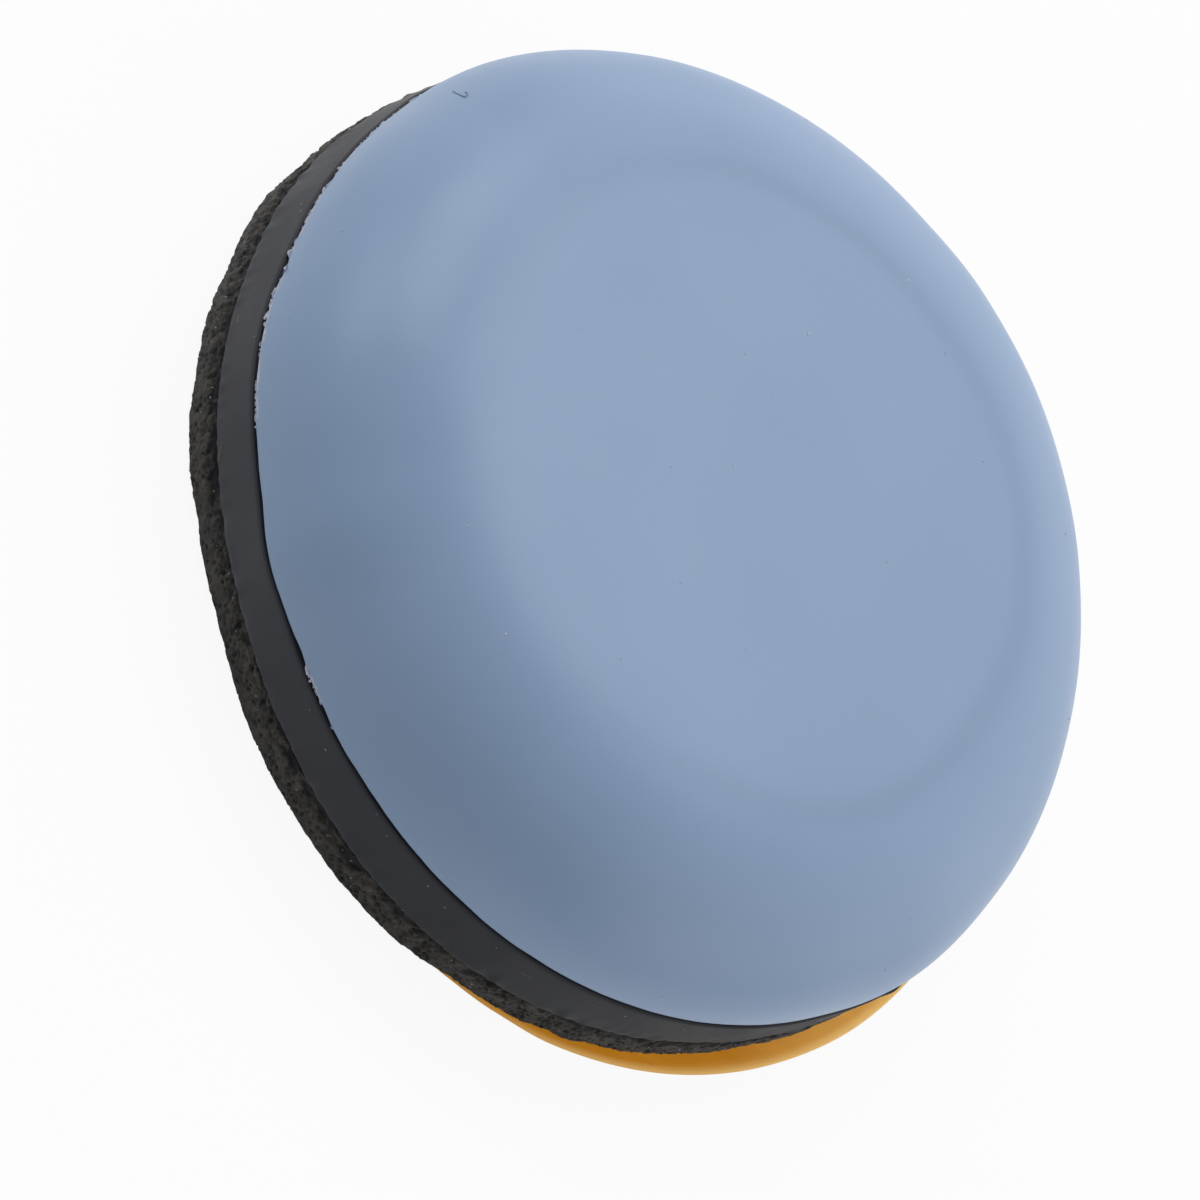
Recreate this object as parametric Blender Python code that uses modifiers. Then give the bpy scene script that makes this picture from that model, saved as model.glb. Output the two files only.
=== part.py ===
"""Self-stick appliance slider, lying glide face up on its release liner.

Metres, +Z up. The origin is on the underside of the liner, on the axis of the puck. The liner is laid off
centre, and +X points at the lip by which it is peeled away.
"""

import math

import bpy

# Glide cap: a formed dome with a flat round face and a broad quarter-round edge
CAP_RADIUS = 0.01905
CAP_HEIGHT = 0.0061
CAP_WALL = 0.0010
FACE_RADIUS = 0.0124

# Rubber core: fills the cap, and shows below it as a smooth band with a small rounded shoulder
CORE_RADIUS = 0.01912
CORE_BAND = 0.0022
CORE_CORNER = 0.00025
EDGE_GAP = 0.00028

# Foam tape: a foam disc whose cut side bows out a little, between two adhesive films
FOAM_RADIUS = 0.01915
FOAM_THICKNESS = 0.0014
FOAM_BOW = 0.0001
FILM_RADIUS = 0.0189
FILM_THICKNESS = 0.0001

# Clear space on each side of an adhesive film
FILM_GAP = 0.00005

# Release liner: a larger disc, off centre by the width of its peeling lip
LINER_RADIUS = 0.01943
LINER_THICKNESS = 0.00012
LINER_OFFSET = 0.00119

# Facets round the axis, and steps along each rounded stretch of a turned profile
SIDES = 64
EDGE_STEPS = 9
BOW_STEPS = 4
CORNER_STEPS = 3
MERGE_DISTANCE = 0.00001
SHARP_ANGLE = math.radians(35.0)

# Heights of the stack, from the bench up
MOUNT_FILM_BOTTOM = LINER_THICKNESS + FILM_GAP
FOAM_BOTTOM = MOUNT_FILM_BOTTOM + FILM_THICKNESS + FILM_GAP
FOAM_TOP = FOAM_BOTTOM + FOAM_THICKNESS
TAPE_FILM_BOTTOM = FOAM_TOP + FILM_GAP
CORE_BOTTOM = TAPE_FILM_BOTTOM + FILM_THICKNESS + FILM_GAP
CORE_SHOULDER = CORE_BOTTOM + CORE_BAND
CAP_EDGE = CORE_SHOULDER + EDGE_GAP
CAP_TOP = CAP_EDGE + CAP_HEIGHT

# Depths below the cap's outer surface of the layers inside it
BOND_OUTER = CAP_WALL + FILM_GAP
BOND_INNER = BOND_OUTER + FILM_THICKNESS
CORE_DEPTH = BOND_INNER + FILM_GAP


def clear_scene():
    """Remove every object that the file opened with."""
    for leftover in list(bpy.data.objects):
        bpy.data.objects.remove(leftover, do_unlink=True)


def linear(channel):
    """Turn an 8-bit colour channel into the linear value that a shader takes."""
    share = channel / 255.0
    if share <= 0.04045:
        return share / 12.92
    return ((share + 0.055) / 1.055) ** 2.4


def make_material(name, red, green, blue, roughness):
    """Make a non-metallic material from an 8-bit colour and a roughness."""
    material = bpy.data.materials.new(name)
    material.use_nodes = True
    shader = material.node_tree.nodes["Principled BSDF"]
    shader.inputs["Base Color"].default_value = (linear(red), linear(green), linear(blue), 1.0)
    shader.inputs["Roughness"].default_value = roughness
    shader.inputs["Metallic"].default_value = 0.0
    return material


def make_carrier(name, collection):
    """Add an empty on the slider's axis, which carries the pieces that move together."""
    carrier = bpy.data.objects.new(name, None)
    collection.objects.link(carrier)
    return carrier


def turned_piece(name, profile, material, carrier, collection):
    """Turn a profile of (radius, height) points, from the top of the axis down its outer side, about Z."""
    mesh = bpy.data.meshes.new(name)
    points = [(radius, 0.0, height) for radius, height in profile]
    links = [(index, index + 1) for index in range(len(points) - 1)]
    mesh.from_pydata(points, links, [])
    mesh.materials.append(material)
    piece = bpy.data.objects.new(name, mesh)
    collection.objects.link(piece)
    piece.parent = carrier

    turning = piece.modifiers.new("turning", "SCREW")
    turning.axis = "Z"
    turning.angle = math.tau
    turning.steps = SIDES
    turning.render_steps = SIDES
    turning.use_merge_vertices = True
    turning.merge_threshold = MERGE_DISTANCE
    turning.use_smooth_shade = True


def disc_piece(name, radius, bottom, thickness, centre_x, material, carrier, collection):
    """Add a flat round sheet whose underside is at the height bottom."""
    middle = (centre_x, 0.0, bottom + thickness / 2)
    bpy.ops.mesh.primitive_cylinder_add(vertices=SIDES, radius=radius, depth=thickness, location=middle)
    piece = bpy.context.object
    piece.name = name
    piece.data.name = name
    piece.data.materials.append(material)
    piece.data.shade_smooth()
    piece.data.set_sharp_from_angle(angle=SHARP_ANGLE)
    for holder in list(piece.users_collection):
        holder.objects.unlink(piece)
    collection.objects.link(piece)
    piece.parent = carrier


def dome(depth):
    """Give the cap's dome, sunk by depth below its outer surface, from the axis down to the cap's edge.

    The edge is a quarter of an ellipse, and each point is moved in along the ellipse's own normal.
    """
    reach = CAP_RADIUS - FACE_RADIUS
    points = [(0.0, CAP_TOP - depth)]
    for step in range(EDGE_STEPS + 1):
        turn = math.pi / 2 * (1 - step / EDGE_STEPS)
        normal_out = math.cos(turn) / reach
        normal_up = math.sin(turn) / CAP_HEIGHT
        length = math.hypot(normal_out, normal_up)
        radius = FACE_RADIUS + reach * math.cos(turn) - depth * normal_out / length
        height = CAP_EDGE + CAP_HEIGHT * math.sin(turn) - depth * normal_up / length
        points.append((radius, height))
    return points


def shell_between(outer_depth, inner_depth):
    """Give the closed profile of a layer of the dome: down its outer side and back up its inner side."""
    return dome(outer_depth) + dome(inner_depth)[::-1]


def core_profile():
    """Give the rubber core: a dome under the cap, a shoulder with a rounded corner, and a flat base."""
    corner_radius = CORE_RADIUS - CORE_CORNER
    corner_height = CORE_SHOULDER - CORE_CORNER
    points = dome(CORE_DEPTH)
    points.append((CAP_RADIUS - CORE_DEPTH, CORE_SHOULDER))
    for step in range(CORNER_STEPS + 1):
        turn = math.pi / 2 * (1 - step / CORNER_STEPS)
        radius = corner_radius + CORE_CORNER * math.cos(turn)
        height = corner_height + CORE_CORNER * math.sin(turn)
        points.append((radius, height))
    points.append((CORE_RADIUS, CORE_BOTTOM))
    points.append((0.0, CORE_BOTTOM))
    return points


def foam_profile():
    """Give the foam disc, whose cut side bows out by FOAM_BOW at mid height."""
    points = [(0.0, FOAM_TOP)]
    for step in range(BOW_STEPS + 1):
        share = step / BOW_STEPS
        bow = FOAM_BOW * math.sin(math.pi * share)
        points.append((FOAM_RADIUS - FOAM_BOW + bow, FOAM_TOP - FOAM_THICKNESS * share))
    points.append((0.0, FOAM_BOTTOM))
    return points


def build_liner(collection):
    """The release liner stays on the bench when the slider is lifted off it."""
    carrier = make_carrier("liner_carrier", collection)
    amber_paper = make_material("amber_paper", 190, 138, 58, 0.45)
    disc_piece("release_liner", LINER_RADIUS, 0.0, LINER_THICKNESS, LINER_OFFSET, amber_paper, carrier,
               collection)


def build_pad(collection):
    """The foam and the adhesive film that sticks to the furniture."""
    carrier = make_carrier("pad_carrier", collection)
    clear_adhesive = make_material("mounting_film", 206, 196, 170, 0.25)
    black_foam = make_material("black_foam", 46, 46, 47, 0.95)
    disc_piece("mount_adhesive", FILM_RADIUS, MOUNT_FILM_BOTTOM, FILM_THICKNESS, 0.0, clear_adhesive, carrier,
               collection)
    turned_piece("foam_pad", foam_profile(), black_foam, carrier, collection)


def build_glide(collection):
    """What rides on the foam: its upper film, the rubber core, the bond and the glide cap."""
    carrier = make_carrier("glide_carrier", collection)
    tape_film = make_material("tape_film", 190, 182, 160, 0.3)
    dark_rubber = make_material("dark_rubber", 56, 57, 61, 0.6)
    contact_adhesive = make_material("contact_adhesive", 201, 178, 120, 0.35)
    glide_plastic = make_material("glide_plastic", 146, 166, 192, 0.42)
    disc_piece("tape_adhesive", FILM_RADIUS, TAPE_FILM_BOTTOM, FILM_THICKNESS, 0.0, tape_film, carrier,
               collection)
    turned_piece("rubber_core", core_profile(), dark_rubber, carrier, collection)
    turned_piece("cap_bond", shell_between(BOND_OUTER, BOND_INNER), contact_adhesive, carrier, collection)
    turned_piece("glide_cap", shell_between(0.0, CAP_WALL), glide_plastic, carrier, collection)


def main():
    clear_scene()
    slider = bpy.data.collections.new("appliance_slider")
    bpy.context.scene.collection.children.link(slider)
    build_liner(slider)
    build_pad(slider)
    build_glide(slider)


main()
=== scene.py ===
# %% [markdown]
# # An appliance slider
# This lesson dresses a small self-stick slider, the kind that goes under the foot of a heavy appliance.
# The real thing is a stack: a domed blue-grey glide cap, a rubber core, a disc of black foam tape, and an
# amber liner that is peeled off before use. The pieces' sizes and joints come from a finished frame, so the
# work here is the surfaces, the light and the camera. All lengths are in metres, and +Z is up.

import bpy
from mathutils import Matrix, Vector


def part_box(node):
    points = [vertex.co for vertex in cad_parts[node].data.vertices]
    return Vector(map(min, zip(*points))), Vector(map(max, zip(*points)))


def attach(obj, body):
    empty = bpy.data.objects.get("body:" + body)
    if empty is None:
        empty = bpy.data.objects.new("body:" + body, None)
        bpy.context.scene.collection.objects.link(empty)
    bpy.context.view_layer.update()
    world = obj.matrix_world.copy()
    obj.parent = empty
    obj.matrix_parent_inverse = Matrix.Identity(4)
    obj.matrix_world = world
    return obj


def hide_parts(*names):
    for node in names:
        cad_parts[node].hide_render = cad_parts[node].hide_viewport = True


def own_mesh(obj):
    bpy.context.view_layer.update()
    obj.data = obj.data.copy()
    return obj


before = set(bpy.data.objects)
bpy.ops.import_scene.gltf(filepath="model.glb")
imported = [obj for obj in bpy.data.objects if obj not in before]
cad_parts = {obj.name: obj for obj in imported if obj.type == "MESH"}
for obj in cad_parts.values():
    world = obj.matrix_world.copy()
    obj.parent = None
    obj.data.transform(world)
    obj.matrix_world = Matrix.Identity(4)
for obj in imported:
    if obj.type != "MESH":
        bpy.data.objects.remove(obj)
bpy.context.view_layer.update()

# %% [markdown]
# ## Read the sizes off the frame
# A dressed piece has to sit exactly where its plain solid is, so the heights and radii are read from the
# frame's boxes and not typed again. Only the flat face's radius is a value of its own, because a box can't
# show where the flat of the dome ends.

# %% Sizes of the stack
import math

import bpy
from mathutils import Matrix, Vector, noise

FACE_RADIUS = 0.0124
CAP_WALL = 0.0010

cap_low, cap_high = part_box("glide_cap")
core_low, core_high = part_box("rubber_core")
foam_low, foam_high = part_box("foam_pad")
liner_low, liner_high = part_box("release_liner")

cap_radius = cap_high.x
cap_edge = cap_low.z
cap_top = cap_high.z
core_radius = core_high.x
foam_radius = foam_high.x
liner_centre = (liner_low.x + liner_high.x) / 2
liner_radius = (liner_high.x - liner_low.x) / 2
print("cap radius", round(1000 * cap_radius, 2), "mm, dome", round(1000 * (cap_top - cap_edge), 2), "mm high")
print("liner lip stands out", round(1000 * (liner_high.x - foam_radius), 2), "mm past the foam")

# %% [markdown]
# ## Turn a profile into a mesh
# Every piece here is round, so one helper turns a list of (radius, height) points about Z. Blender's Screw
# modifier does the same, but a real trimmed or cut edge is never a perfect circle. A helper that places each
# point itself can pass it through a small function first, and that is how the unevenness gets in. Points on
# the axis are shared by all the faces round them, and stay where they are.

# %% The turning helper
ON_AXIS = 1e-7
SHARP_ANGLE = math.radians(35)


def new_object(name, data):
    """Make an object and put it in the scene."""
    made = bpy.data.objects.new(name, data)
    bpy.context.scene.collection.objects.link(made)
    return made


def new_piece(name, points, edges, faces):
    """Make a mesh object from plain lists."""
    mesh = bpy.data.meshes.new(name)
    mesh.from_pydata(points, edges, faces)
    return new_object(name, mesh)


def keep_value(piece, name, value_at):
    """Keep a value on each point of a piece, for a node tree to read."""
    kept = piece.data.attributes.new(name, "FLOAT", "POINT")
    for vertex, item in zip(piece.data.vertices, kept.data):
        item.value = value_at(vertex.co)


def turned_piece(name, profile, segments, uneven=None):
    """Turn a profile, from the top of the axis down its outer side and back to the axis, about Z."""
    points = []
    rings = []
    for radius, height in profile:
        if radius < ON_AXIS:
            rings.append([len(points)] * segments)
            points.append((0.0, 0.0, height))
            continue
        rings.append(range(len(points), len(points) + segments))
        for index in range(segments):
            angle = math.tau * index / segments
            place = Vector((radius * math.cos(angle), radius * math.sin(angle), height))
            points.append(uneven(place) if uneven else place)
    faces = []
    for upper, lower in zip(rings, rings[1:]):
        for index in range(segments):
            after = (index + 1) % segments
            corners = (upper[index], lower[index], lower[after], upper[after])
            faces.append(tuple(dict.fromkeys(corners)))
    piece = new_piece(name, points, [], faces)
    piece.data.shade_smooth()
    return piece


def clamp(share):
    """Hold a value between 0 and 1."""
    return min(1.0, max(0.0, share))


def ease(share):
    """Go from 0 to 1 with a soft start and a soft end."""
    share = clamp(share)
    return share * share * (3 - 2 * share)


def wander(place, size, seed):
    """A smooth random value from about -1 to 1 that changes over lengths of the given size."""
    return noise.noise(place / size + Vector((seed, 2.7 * seed, -1.3 * seed)))


def degrees_round(place):
    """How far round the axis a point is, from 0 to 360 degrees."""
    return math.degrees(math.atan2(place.y, place.x)) % 360


def round_the_edge(stops, place):
    """An offset in metres from (degrees, millimetres) stops round the axis, eased from one to the next."""
    degrees = degrees_round(place)
    ring = [(stops[-1][0] - 360, stops[-1][1])] + stops + [(stops[0][0] + 360, stops[0][1])]
    for (first, low), (last, high) in zip(ring, ring[1:]):
        if first <= degrees <= last:
            return (low + (high - low) * ease((degrees - first) / (last - first))) / 1000


def move_out(place, distance):
    """Move a point away from the axis."""
    return place + distance * Vector((place.x, place.y, 0.0)).normalized()


def arc(centre_radius, centre_height, across, up, first, last, steps):
    """Points of an ellipse's arc between two angles in degrees, where 90 is the top."""
    points = []
    for step in range(steps + 1):
        turn = math.radians(first + (last - first) * step / steps)
        points.append((centre_radius + across * math.cos(turn), centre_height + up * math.sin(turn)))
    return points


# %% [markdown]
# ## The glide cap
# On the real slider the cap is a sheet of slippery plastic pressed into a dome and then trimmed. Its face is
# flat, its edge is a broad quarter round, and the trimmed rim wanders a little and is frayed in places. The
# profile below has the same flat and the same quarter ellipse as the frame's solid, with many more steps, so
# that reflections run smoothly over it. Pressed sheet springs back by a different amount all round, so a list
# of angles and offsets pulls the flank in and out by a tenth of a millimetre or two. A value called fray is
# kept on each point, for the finish to read.

# %% Shape of the cap
CAP_SEGMENTS = 384
FACE_BLEND = 0.0020
FACE_RINGS = 14
EDGE_STEPS = 40
RIM_ROUND = 0.00012
RIM_ROUND_STEPS = 4
RIM_ZONE = 0.0007
RIM_WANDER = 0.00004
RIM_WAVE = 0.0016
RIM_RIPPLE = 0.0005
RIM_RIPPLE_SHARE = 0.6
SPRING_FROM = 0.0125
SPRING_OVER = 0.0040
SPRING_BACK = [(0, -0.04), (15, 0.01), (30, 0.10), (45, 0.14), (60, 0.04), (74, -0.16), (95, -0.15),
               (115, -0.06), (135, 0.04), (152, -0.16), (172, -0.17), (190, 0.05), (205, -0.09), (213, 0.04),
               (221, -0.08), (235, 0.0), (255, 0.07), (290, 0.01), (308, 0.02), (322, 0.18), (338, 0.02)]
FRAY_STRETCHES = [(143, 201), (221, 234)]
FRAY_FADE = 5
FRAY_HEIGHT = 0.00070
NOTCH_HEIGHT = 0.00030
NOTCH_SIZE = 0.0011


def soft_start(past):
    """Rise slowly from 0, and follow the distance past the face's edge from there on."""
    return (past + math.hypot(past, FACE_BLEND)) / 2


def dome_height(radius):
    """Height of the outer surface: flat in the middle, then a quarter ellipse that starts softly."""
    share = soft_start(radius - FACE_RADIUS) / soft_start(cap_radius - FACE_RADIUS)
    return cap_edge + (cap_top - cap_edge) * math.sqrt(1 - share * share)


def cap_profile():
    """The face, the flank, the rounded rim, and the hollow back to the axis."""
    reach = cap_radius - FACE_RADIUS
    rise = cap_top - cap_edge
    face = [FACE_RADIUS * ring / FACE_RINGS for ring in range(FACE_RINGS)]
    flank = [radius for radius, _ in arc(FACE_RADIUS, 0.0, reach, 0.0, 90, 4, EDGE_STEPS)]
    outside = [(radius, dome_height(radius)) for radius in face + flank]
    rim_centre = (cap_radius - RIM_ROUND, cap_edge + RIM_ROUND)
    rim = arc(*rim_centre, RIM_ROUND, RIM_ROUND, 0, -90, RIM_ROUND_STEPS)
    inside = arc(FACE_RADIUS, cap_edge, reach - CAP_WALL, rise - CAP_WALL, 0, 90, EDGE_STEPS // 2)
    return outside + rim + inside + [(0.0, cap_top - CAP_WALL)]


def frayed_stretch(place):
    """1 along the stretches of rim that are frayed, fading to 0 towards their ends."""
    degrees = degrees_round(place)
    return max(ease(min(degrees - first, last - degrees) / FRAY_FADE) for first, last in FRAY_STRETCHES)


def on_inner_side(place):
    """True for the points of the cap's hollow, which stay where the core needs them."""
    radius = math.hypot(place.x, place.y)
    return radius < cap_radius - 0.7 * CAP_WALL and dome_height(radius) - place.z > 0.5 * CAP_WALL


def uneven_cap(place):
    """Let the flank spring back, let the trimmed rim wander, and notch it where it is frayed."""
    if on_inner_side(place):
        return place
    near_rim = 1 - ease((place.z - cap_edge) / RIM_ZONE)
    rise = RIM_WANDER * (wander(place, RIM_WAVE, 1) + RIM_RIPPLE_SHARE * wander(place, RIM_RIPPLE, 2))
    rise += NOTCH_HEIGHT * frayed_stretch(place) * max(0.0, wander(place, NOTCH_SIZE, 3))
    flank = ease((math.hypot(place.x, place.y) - SPRING_FROM) / SPRING_OVER)
    return move_out(place, flank * round_the_edge(SPRING_BACK, place)) + Vector((0.0, 0.0, near_rim * rise))


def fray_value(place):
    """1 at the frayed rim, fading to 0 up the flank."""
    return clamp(1 - (place.z - cap_edge) / FRAY_HEIGHT) * frayed_stretch(place)


cap = turned_piece("glide_cap_dome", cap_profile(), CAP_SEGMENTS, uneven_cap)
keep_value(cap, "fray", fray_value)
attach(cap, "glide")
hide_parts("glide_cap")
print(cap.name, len(cap.data.polygons), "faces")

# %% [markdown]
# ## The rubber core
# Under the cap sits a moulded rubber puck. Only its band shows, smooth and dark, with a shallow groove that
# leaves a shadow line below the cap's rim. Soft rubber is out of round once it has been pressed and stuck, so
# the band's foot and its shoulder each stand in and out by a list of their own, and a third list says how
# far the shoulder rises towards the rim. Small nicks break the foot's edge. The dome is hidden, but it is
# still made, because the piece has to be whole when it is lifted out and looked at.

# %% Shape of the core
CORE_SEGMENTS = 960
CORE_DOME_STEPS = 16
CORE_CORNER = 0.00010
CORE_CORNER_STEPS = 6
CORE_FOOT = 0.00012
CORE_FOOT_STEPS = 4
SHOULDER_GAP = 0.00022
GROOVE_IN = 0.00030
GROOVE_STEP = 0.00005
BAND_STEPS = 10
BAND_WANDER = 0.00001
BAND_WANDER_SIZE = 0.003
NICK_FADE = 6
NICK_SIZE = 0.0005
NICK_HEIGHT = 0.00030
NICK_DEPTH = 0.00012
FOOT_STANDS = [(0, 0.0), (122, 0.0), (138, 0.11), (150, 0.07), (164, 0.12), (176, 0.0), (190, -0.03),
               (206, -0.16), (218, -0.18), (230, -0.01), (240, 0.18), (250, 0.32), (262, 0.35), (272, 0.27),
               (285, 0.12), (300, 0.02), (322, 0.20), (345, 0.0)]
BAND_RISES = [(0, 0.0), (120, 0.0), (138, 0.13), (160, 0.13), (190, 0.09), (215, 0.13), (275, 0.14),
              (300, 0.13), (330, 0.13), (345, 0.0)]
SHOULDER_STANDS = [(0, 0.0), (108, 0.0), (125, -0.10), (140, -0.10), (146, 0.02), (153, 0.0), (319.5, 0.0),
                   (322, 0.09), (324.5, 0.0)]

core_depth = cap_top - core_high.z
shoulder = cap_edge - SHOULDER_GAP


def core_profile():
    """The dome under the cap, the groove below the rim, the band, its foot and the flat base."""
    reach = cap_radius - FACE_RADIUS - core_depth
    rise = cap_top - cap_edge - core_depth
    dome = arc(FACE_RADIUS, cap_edge, reach, rise, 90, 0, CORE_DOME_STEPS)
    groove = shoulder + GROOVE_STEP
    neck = [(cap_radius - core_depth, groove), (cap_radius - GROOVE_IN, groove)]
    neck.append((cap_radius - GROOVE_IN / 2, shoulder))
    corner_centre = (core_radius - CORE_CORNER, shoulder - CORE_CORNER)
    corner = arc(*corner_centre, CORE_CORNER, CORE_CORNER, 90, 0, CORE_CORNER_STEPS)
    foot_centre = (core_radius - CORE_FOOT, core_low.z + CORE_FOOT)
    foot = arc(*foot_centre, CORE_FOOT, CORE_FOOT, 0, -90, CORE_FOOT_STEPS)
    top = corner[-1][1]
    bottom = foot[0][1]
    band = [(core_radius, top + (bottom - top) * step / BAND_STEPS) for step in range(1, BAND_STEPS)]
    base = [(cap_radius - CAP_WALL, core_low.z), (0.0, core_low.z)]
    return [(0.0, core_high.z)] + dome + neck + corner + band + foot + base


def uneven_core(place):
    """Stand the band's shoulder and foot in or out, raise the shoulder, and nick the foot."""
    outer = ease((math.hypot(place.x, place.y) - cap_radius + CAP_WALL) / (0.5 * CAP_WALL))
    share = (place.z - core_low.z) / (shoulder - core_low.z)
    foot = round_the_edge(FOOT_STANDS, place)
    top = round_the_edge(SPRING_BACK, place) + round_the_edge(SHOULDER_STANDS, place)
    stands = foot + (top - foot) * min(1.0, share) + BAND_WANDER * wander(place, BAND_WANDER_SIZE, 5)
    rises = share * round_the_edge(BAND_RISES, place)
    near_foot = (1 - min(1.0, share)) ** NICK_FADE
    nick = wander(Vector((place.x, place.y, 0.0)), NICK_SIZE, 11)
    stands += near_foot * NICK_DEPTH * nick
    rises += near_foot * NICK_HEIGHT * max(0.0, nick)
    return move_out(place, outer * stands) + Vector((0.0, 0.0, outer * rises))


core = turned_piece("rubber_core_puck", core_profile(), CORE_SEGMENTS, uneven_core)
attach(core, "glide")
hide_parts("rubber_core")
print(core.name, len(core.data.polygons), "faces, band", round(1000 * (shoulder - core_low.z), 2), "mm high")

# %% [markdown]
# ## A short way to write node trees
# Both the foam's cells and the finishes are node trees. Written out in full they are long, so a few helpers
# take up what repeats. The first two add a node, and set each input or link it, depending on whether it is
# given a value or another node's output. The others add the nodes that are needed most, start and end a
# Geometry Nodes tree, and run one on a piece.

# %% Node helpers
def set_inputs(tree, node, inputs):
    """Set a node's inputs by name or number, or link those that are given another node's output."""
    for key, value in inputs.items():
        if isinstance(value, bpy.types.NodeSocket):
            tree.links.new(value, node.inputs[key])
        else:
            node.inputs[key].default_value = value


def add_node(tree, kind, inputs=None, **settings):
    """Add a node with its own settings and its inputs, and return its outputs."""
    node = tree.nodes.new(kind)
    for key, value in settings.items():
        setattr(node, key, value)
    set_inputs(tree, node, inputs or {})
    return node.outputs


def math_node(tree, operation, first, second=0.0, third=0.0):
    """Add a Math node and return its result."""
    return add_node(tree, "ShaderNodeMath", {0: first, 1: second, 2: third}, operation=operation)[0]


def vector_node(tree, operation, inputs, output=0):
    """Add a Vector Math node and return one of its results."""
    return add_node(tree, "ShaderNodeVectorMath", inputs, operation=operation)[output]


def random_vector(tree, lowest, highest, seed):
    """A random vector for each point, between two corners of a box."""
    inputs = {0: lowest, 1: highest, "Seed": seed}
    return add_node(tree, "FunctionNodeRandomValue", inputs, data_type="FLOAT_VECTOR")[0]


def new_geometry_tree(name, inputs):
    """Start a Geometry Nodes tree with a geometry input, named inputs and a geometry output."""
    tree = bpy.data.node_groups.new(name, "GeometryNodeTree")
    tree.interface.new_socket("Geometry", in_out="INPUT", socket_type="NodeSocketGeometry")
    for label, kind in inputs:
        tree.interface.new_socket(label, in_out="INPUT", socket_type="NodeSocket" + kind)
    tree.interface.new_socket("Geometry", in_out="OUTPUT", socket_type="NodeSocketGeometry")
    return tree, add_node(tree, "NodeGroupInput")


def end_tree(tree, geometry, material):
    """Close a tree with Realize Instances and Set Material."""
    real = add_node(tree, "GeometryNodeRealizeInstances", {"Geometry": geometry})
    painted = add_node(tree, "GeometryNodeSetMaterial", {"Geometry": real[0], "Material": material})
    output = tree.nodes.new("NodeGroupOutput")
    tree.links.new(painted[0], output.inputs[0])


def grow(piece, tree, values):
    """Run a tree on a piece with named input values, and keep the result as the piece's plain mesh."""
    modifier = piece.modifiers.new(tree.name, "NODES")
    modifier.node_group = tree
    for item in tree.interface.items_tree:
        if item.in_out == "INPUT" and item.name in values:
            modifier[item.identifier] = values[item.name]
    view_layer = bpy.context.evaluated_depsgraph_get()
    grown = bpy.data.meshes.new_from_object(piece.evaluated_get(view_layer))
    piece.modifiers.remove(modifier)
    piece.data = grown
    print(piece.name, len(grown.polygons), "faces grown by", tree.name)


def linear(red, green, blue):
    """An 8-bit colour as the linear values that a shader takes."""
    shares = [channel / 255 for channel in (red, green, blue)]
    return [s / 12.92 if s <= 0.04045 else ((s + 0.055) / 1.055) ** 2.4 for s in shares] + [1.0]


def new_finish(name):
    """Start a material and return it with its tree, its shader and its object coordinates."""
    material = bpy.data.materials.new(name)
    material.use_nodes = True
    tree = material.node_tree
    shader = tree.nodes["Principled BSDF"]
    place = add_node(tree, "ShaderNodeTexCoord")["Object"]
    return material, tree, shader, place


def paint(piece, material):
    """Give a piece its finish."""
    piece.data.materials.append(material)
    print(material.name, "on", piece.name)


def noise_of(tree, place, size, detail=2.0, roughness=0.5):
    """Noise whose spots are about as large as size, in metres."""
    inputs = {"Vector": place, "Scale": 1 / size, "Detail": detail, "Roughness": roughness}
    return add_node(tree, "ShaderNodeTexNoise", inputs)["Fac"]


def between(tree, factor, first, second, from_low=0.0, from_high=1.0):
    """Go from one value to another as the factor goes from from_low to from_high."""
    inputs = {"Value": factor, "From Min": from_low, "From Max": from_high, "To Min": first, "To Max": second}
    return add_node(tree, "ShaderNodeMapRange", inputs)["Result"]


def tint(tree, factor, first, second):
    """Blend two colours by a factor from 0 to 1. Each is a node's output or three 8-bit values."""
    first, second = (linear(*colour) if isinstance(colour, tuple) else colour for colour in (first, second))
    return add_node(tree, "ShaderNodeMix", {0: factor, 6: first, 7: second}, data_type="RGBA")[2]


def stored(tree, name):
    """A value that was kept on each point of the mesh."""
    return add_node(tree, "ShaderNodeAttribute", attribute_name=name)["Fac"]


def bump(tree, shader, height, depth, strength=1.0):
    """Raise the surface by a height pattern of the given depth in metres."""
    node = add_node(tree, "ShaderNodeBump", {"Height": height, "Distance": depth, "Strength": strength})
    tree.links.new(node["Normal"], shader.inputs["Normal"])


# %% [markdown]
# ## Finish of the cap
# The plastic is a waxy blue-grey with a satin surface. Pressed sheet is never one flat colour, so broad soft
# clouds shift it slightly, and a fine tooth in the surface breaks up the reflection. Where the rim is frayed
# the plastic turns whitish, as stressed plastic does. The fray value says how close that is, and noise makes
# the border of the pale line ragged. A faint darker ring is also painted where the flat face ends, as painted
# shade, strongest on one side.

# %% Glide plastic
# Painted shade ring: its radius, its half width, the side where it is strongest, and its weight on each side.
PAINTED_RING_RADIUS = 0.0125
PAINTED_RING_HALF = 0.0012
PAINTED_RING_SIDE = (0.866, 0.5, 0.0)
PAINTED_RING_FAINT = 0.1
PAINTED_RING_DEEP = 0.85
RING_DRIFT = 0.0004
RING_DRIFT_SIZE = 0.012


def about_axis(tree, place, side):
    """Distance from the axis, and how far round a point is: 1 on the given side, -1 on the other."""
    flat = vector_node(tree, "MULTIPLY", {0: place, 1: (1.0, 1.0, 0.0)})
    radius = vector_node(tree, "LENGTH", {0: flat}, "Value")
    along = vector_node(tree, "DOT_PRODUCT", {0: flat, 1: side}, "Value")
    return radius, math_node(tree, "DIVIDE", along, radius)


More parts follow.
